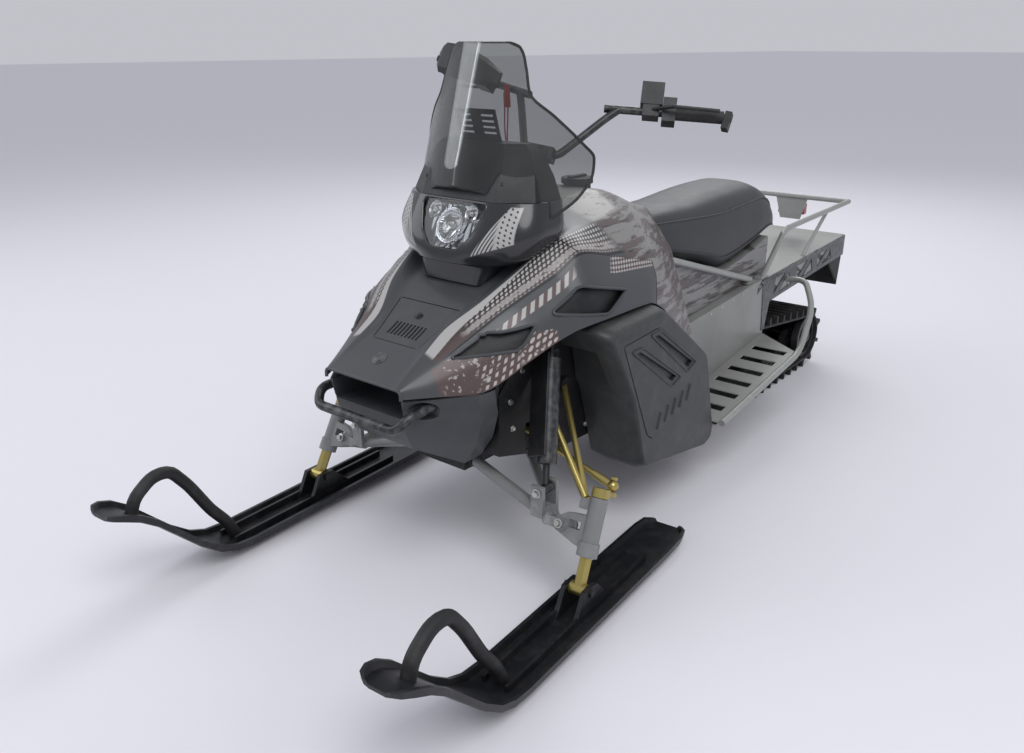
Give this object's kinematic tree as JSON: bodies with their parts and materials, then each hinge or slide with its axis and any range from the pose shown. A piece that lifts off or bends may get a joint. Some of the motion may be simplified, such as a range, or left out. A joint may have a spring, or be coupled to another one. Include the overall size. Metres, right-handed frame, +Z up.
{
  "type": "snowmobile",
  "caption": "Utility snowmobile with steered front skis, a wide rubber track, windshield, long seat and tubular rear rack.",
  "frame": {"origin": "centre of the bounding box on the floor", "axes": "+X to the driver's left, -Y to the nose, +Z up"},
  "size_m": [1.1643, 3.0257, 1.306],
  "materials": {
    "black_steel": "satin",
    "cast_block": "rough",
    "charcoal_plastic": "matte",
    "black_gloss": "gloss",
    "lamp_glass": "gloss",
    "smoked_sheet": "gloss",
    "black_plastic": "satin",
    "grey_steel": "satin",
    "zinc_steel": "satin",
    "patterned_plastic": "satin",
    "seat_vinyl": "matte",
    "silver_steel": "satin",
    "silver_sheet": "satin",
    "dark_sheet": "satin",
    "red_lens": "gloss",
    "black_rubber": "matte"
  },
  "bodies": {
    "chassis": {"bulkhead": "black_steel", "engine": "cast_block", "front_cover": "charcoal_plastic", "bumper": "black_steel", "hood": "charcoal_plastic", "nose_panel": "charcoal_plastic", "headlight_pod": "black_gloss", "headlight": "lamp_glass", "windshield": "smoked_sheet", "dash": "black_plastic", "side_pans": "charcoal_plastic", "access_panels": "charcoal_plastic", "lower_arms": "grey_steel", "upper_arms": "zinc_steel", "shocks": "black_steel", "shock_covers": "black_plastic", "knuckles": "grey_steel", "tank_cover": "patterned_plastic", "fuel_cap": "black_plastic", "seat_base": "patterned_plastic", "seat": "seat_vinyl", "seat_rails": "silver_steel", "tunnel": "silver_sheet", "rear_plates": "dark_sheet", "running_boards": "silver_sheet", "board_tubes": "silver_steel", "rack": "silver_steel", "tail_light": "red_lens", "snow_flap": "black_rubber", "track": "black_rubber", "rear_idlers": "black_plastic", "slide_rails": "black_steel", "drive_axle": "grey_steel"},
    "steering": {"handlebar": "black_steel", "grips": "black_rubber", "controls": "black_plastic", "hand_guard": "black_plastic"},
    "spindle_left": {"spindle_left": "zinc_steel"},
    "spindle_right": {"spindle_right": "zinc_steel"},
    "ski_left": {"ski_left": "black_plastic", "ski_loop_left": "black_rubber"},
    "ski_right": {"ski_right": "black_plastic", "ski_loop_right": "black_rubber"},
    "tie_rod_left": {"tie_rod_left": "zinc_steel"},
    "tie_rod_right": {"tie_rod_right": "zinc_steel"}
  },
  "joints": [
    {"name": "steering", "type": "hinge", "parent": "chassis", "child": "steering", "pos_m": [0, -0.384, 1.009], "axis": [0, 0.5, 0.866], "range_deg": [-50, 18]},
    {"name": "ski_steer_left", "type": "hinge", "parent": "chassis", "child": "spindle_left", "pos_m": [0.477, -0.83, 0.086], "axis": [-0.0627, 0.4375, 0.897], "range_deg": [-25.5, 9.5]},
    {"name": "ski_pitch_left", "type": "hinge", "parent": "spindle_left", "child": "ski_left", "pos_m": [0.477, -0.83, 0.086], "axis": [0.9976, 0.0698, 0], "range_deg": [-15, 10]},
    {"name": "tie_rod_swing_left", "type": "hinge", "parent": "spindle_left", "child": "tie_rod_left", "pos_m": [0.44381, -0.64669, 0.27442], "axis": [-0.0627, 0.4375, 0.897], "range_deg": [-9.5, 25.5]},
    {"name": "ski_steer_right", "type": "hinge", "parent": "chassis", "child": "spindle_right", "pos_m": [-0.477, -0.83, 0.086], "axis": [0.0627, 0.4375, 0.897], "range_deg": [-25.5, 9.5]},
    {"name": "ski_pitch_right", "type": "hinge", "parent": "spindle_right", "child": "ski_right", "pos_m": [-0.477, -0.83, 0.086], "axis": [0.9976, 0.0698, 0], "range_deg": [-15, 10]},
    {"name": "tie_rod_swing_right", "type": "hinge", "parent": "spindle_right", "child": "tie_rod_right", "pos_m": [-0.45539, -0.6449, 0.27436], "axis": [0.0627, 0.4375, 0.897], "range_deg": [-9.5, 25.5]}
  ],
  "couplings": [
    {"joint": "ski_steer_left", "follows": "steering", "ratio": 0.5},
    {"joint": "tie_rod_swing_left", "follows": "steering", "ratio": -0.5},
    {"joint": "ski_steer_right", "follows": "steering", "ratio": 0.5},
    {"joint": "tie_rod_swing_right", "follows": "steering", "ratio": -0.5}
  ]
}
